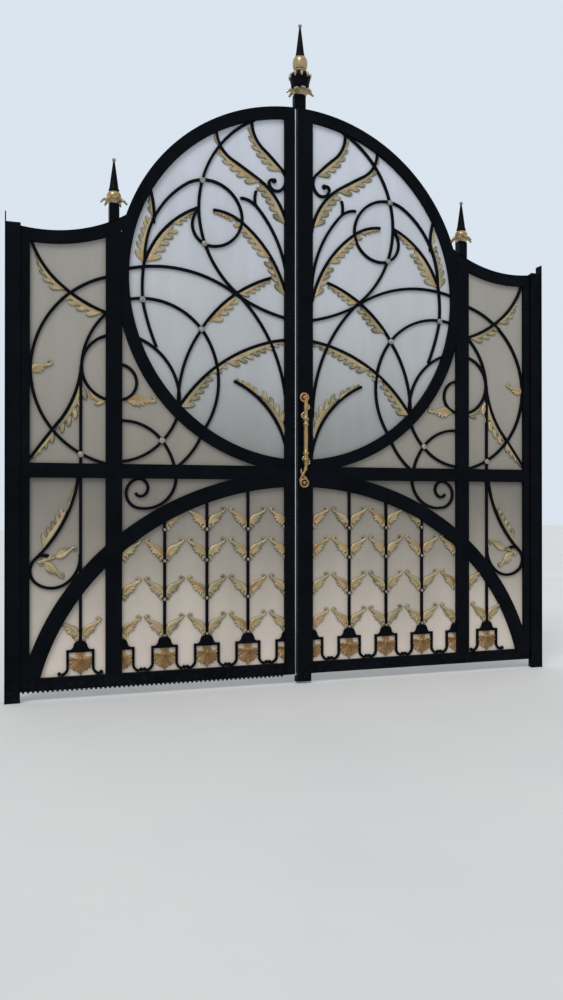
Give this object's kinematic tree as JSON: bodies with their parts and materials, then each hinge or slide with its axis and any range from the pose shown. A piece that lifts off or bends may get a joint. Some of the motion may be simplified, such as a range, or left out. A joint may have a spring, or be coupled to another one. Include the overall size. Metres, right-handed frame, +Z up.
{
  "type": "ornamental double-leaf steel driveway gate",
  "caption": "Ornamental steel driveway gate with swinging leaves between fixed posts: a great ring, scrollwork, gilded leaves, backing sheets and spires.",
  "frame": {"origin": "on the underside of the left post's foot, at ground level, in the mid-plane of the leaves", "axes": "+X across the gate to the right post as seen from the street, +Y through the gate away from the street, +Z up"},
  "size_m": [4.162, 0.232, 4.899],
  "materials": {
    "black": "near-black satin paint",
    "gold": "muted antique gold paint on castings",
    "sheet": "pale grey matt finish on thin sheet",
    "hinge_steel": "painted steel, greasy at the pins"
  },
  "bodies": {
    "posts": {"left_post": "black", "left_post_hinges": "hinge_steel", "right_post": "black", "right_post_hinges": "hinge_steel"},
    "left_leaf": {"left_bottom_rail": "black", "left_fronds": "gold", "left_hinge_knuckles": "hinge_steel", "left_hinge_stile": "black", "left_inner_post": "black", "left_lower_arch": "black", "left_lower_bars": "black", "left_lower_leaves": "gold", "left_lower_sheets": "sheet", "left_meeting_stile": "black", "left_mid_rail": "black", "left_outer_scrolls": "black", "left_post_finial": "black", "left_ring": "black", "left_ring_scrolls": "black", "left_ring_sheet": "sheet", "left_side_top_rail": "black", "left_toothed_strip": "black", "left_upper_sheets": "sheet"},
    "right_leaf": {"central_finial": "black", "foot_block": "black", "handle": "gold", "right_bottom_rail": "black", "right_fronds": "gold", "right_hinge_knuckles": "hinge_steel", "right_hinge_stile": "black", "right_inner_post": "black", "right_lower_arch": "black", "right_lower_bars": "black", "right_lower_leaves": "gold", "right_lower_sheets": "sheet", "right_meeting_stile": "black", "right_mid_rail": "black", "right_outer_scrolls": "black", "right_post_finial": "black", "right_ring": "black", "right_ring_scrolls": "black", "right_ring_sheet": "sheet", "right_side_top_rail": "black", "right_upper_sheets": "sheet"}
  },
  "joints": [
    {"name": "left_leaf_swing", "type": "hinge", "parent": "posts", "child": "left_leaf", "pos_m": [0.0425, 0.0415, 0], "axis": [0, 0, 1], "range_deg": [0, 90]},
    {"name": "right_leaf_swing", "type": "hinge", "parent": "posts", "child": "right_leaf", "pos_m": [4.0245, 0.0415, 0], "axis": [0, 0, -1], "range_deg": [0, 90]}
  ]
}
